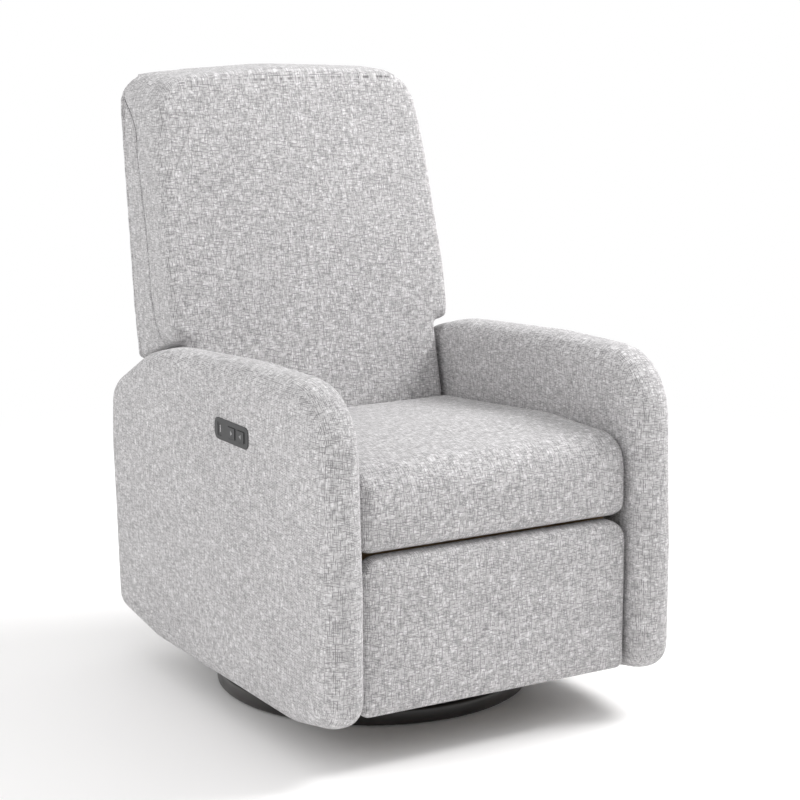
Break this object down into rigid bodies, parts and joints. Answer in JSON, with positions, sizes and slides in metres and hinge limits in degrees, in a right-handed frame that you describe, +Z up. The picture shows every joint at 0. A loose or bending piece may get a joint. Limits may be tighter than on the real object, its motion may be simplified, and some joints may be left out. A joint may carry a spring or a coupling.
{
  "type": "glider nursery chair",
  "caption": "Upholstered swivel glider with powered footrest and back: padded arms, T-shaped back, seat cushion, folding footrest and a round floor ring.",
  "frame": {"origin": "where the swivel axis meets the floor, under the middle of the chair", "axes": "+X towards the sitter's left arm, the chair faces -Y, +Z up"},
  "size_m": [0.7002, 0.9227, 1.1109],
  "materials": {
    "fabric": "matte",
    "webbing": "matte",
    "black_steel": "satin",
    "zinc_steel": "satin",
    "plywood": "matte",
    "charcoal_plastic": "satin",
    "black_plastic": "satin",
    "rubber": "matte"
  },
  "bodies": {
    "base": {"base_ring": "black_steel", "base_cross": "black_steel", "floor_pad_1": "rubber", "floor_pad_2": "rubber", "floor_pad_3": "rubber", "floor_pad_4": "rubber", "bearing_lower": "zinc_steel", "king_pin": "zinc_steel"},
    "swivel": {"bearing_upper": "zinc_steel", "glider_plate": "black_steel", "glide_bracket_left": "black_steel", "glide_bracket_right": "black_steel"},
    "front_links": {"glide_link_front_left": "zinc_steel", "glide_link_front_right": "zinc_steel"},
    "rear_links": {"glide_link_rear_left": "zinc_steel", "glide_link_rear_right": "zinc_steel"},
    "carriage": {"side_plate_left": "black_steel", "side_plate_right": "black_steel", "cross_tube_front": "black_steel", "cross_tube_rear": "black_steel", "seat_rail_front": "plywood", "seat_rail_rear": "plywood", "seat_rail_left": "plywood", "seat_rail_right": "plywood", "seat_deck": "webbing", "seat_cushion": "fabric", "arm_left": "fabric", "arm_right": "fabric", "arm_panel_left": "plywood", "arm_panel_right": "plywood", "control_bezel": "charcoal_plastic", "control_housing": "charcoal_plastic", "usb_socket": "black_plastic", "drive_motor": "charcoal_plastic", "drive_rail": "zinc_steel", "power_inlet": "black_plastic"},
    "drive_nut": {"drive_nut": "charcoal_plastic"},
    "lower_links": {"torque_tube": "zinc_steel", "foot_link_lower_left": "black_steel", "foot_link_lower_right": "black_steel", "drive_lever": "zinc_steel"},
    "upper_links": {"foot_link_upper_left": "black_steel", "foot_link_upper_right": "black_steel"},
    "footrest": {"footrest_pad": "fabric", "footrest_board": "plywood", "footrest_bracket_left": "black_steel", "footrest_bracket_right": "black_steel"},
    "back": {"back_cushion": "fabric", "back_panel": "fabric", "back_post_left": "plywood", "back_post_right": "plywood", "back_rail_top": "plywood", "back_rail_lower": "plywood", "back_bracket_left": "black_steel", "back_bracket_right": "black_steel"},
    "button_recline": {"button_recline": "charcoal_plastic"},
    "button_return": {"button_return": "charcoal_plastic"}
  },
  "joints": [
    {"name": "swivel", "type": "hinge", "parent": "base", "child": "swivel", "pos_m": [0, 0, 0], "axis": [0, 0, 1], "continuous": true},
    {"name": "glide", "type": "hinge", "parent": "swivel", "child": "front_links", "pos_m": [0, -0.12, 0.25], "axis": [1, 0, 0], "range_deg": [-20, 20]},
    {"name": "glide_rear", "type": "hinge", "parent": "swivel", "child": "rear_links", "pos_m": [0, 0.085, 0.25], "axis": [1, 0, 0], "range_deg": [-20, 20]},
    {"name": "glide_level", "type": "hinge", "parent": "front_links", "child": "carriage", "pos_m": [0, -0.12, 0.15], "axis": [1, 0, 0], "range_deg": [-20, 20]},
    {"name": "footrest_open", "type": "hinge", "parent": "carriage", "child": "lower_links", "pos_m": [0, -0.34475, 0.29094], "axis": [-1, 0, 0], "range_deg": [0, 110]},
    {"name": "footrest_knee", "type": "hinge", "parent": "lower_links", "child": "upper_links", "pos_m": [0, -0.32218, 0.16291], "axis": [1, 0, 0], "range_deg": [0, 165]},
    {"name": "footrest_tilt", "type": "hinge", "parent": "upper_links", "child": "footrest", "pos_m": [0, -0.361, 0.3078], "axis": [-1, 0, 0], "range_deg": [0, 137.5]},
    {"name": "drive_nut", "type": "slide", "parent": "carriage", "child": "drive_nut", "axis": [0, -1, 0], "range_m": [0, 0.08192]},
    {"name": "back_recline", "type": "hinge", "parent": "carriage", "child": "back", "pos_m": [0, 0.2, 0.36], "axis": [-1, 0, 0], "range_deg": [0, 32]},
    {"name": "button_recline", "type": "slide", "parent": "carriage", "child": "button_recline", "axis": [1, 0, 0], "range_m": [0, 0.0015], "stiffness_N_per_m": 400},
    {"name": "button_return", "type": "slide", "parent": "carriage", "child": "button_return", "axis": [1, 0, 0], "range_m": [0, 0.0015], "stiffness_N_per_m": 400}
  ],
  "couplings": [
    {"joint": "glide_rear", "follows": "glide", "ratio": 1},
    {"joint": "glide_level", "follows": "glide", "ratio": -1},
    {"joint": "footrest_knee", "follows": "footrest_open", "ratio": 1.5},
    {"joint": "footrest_tilt", "follows": "footrest_open", "ratio": 1.25},
    {"joint": "drive_nut", "follows": "footrest_open", "m_per_rad": 0.042667}
  ]
}
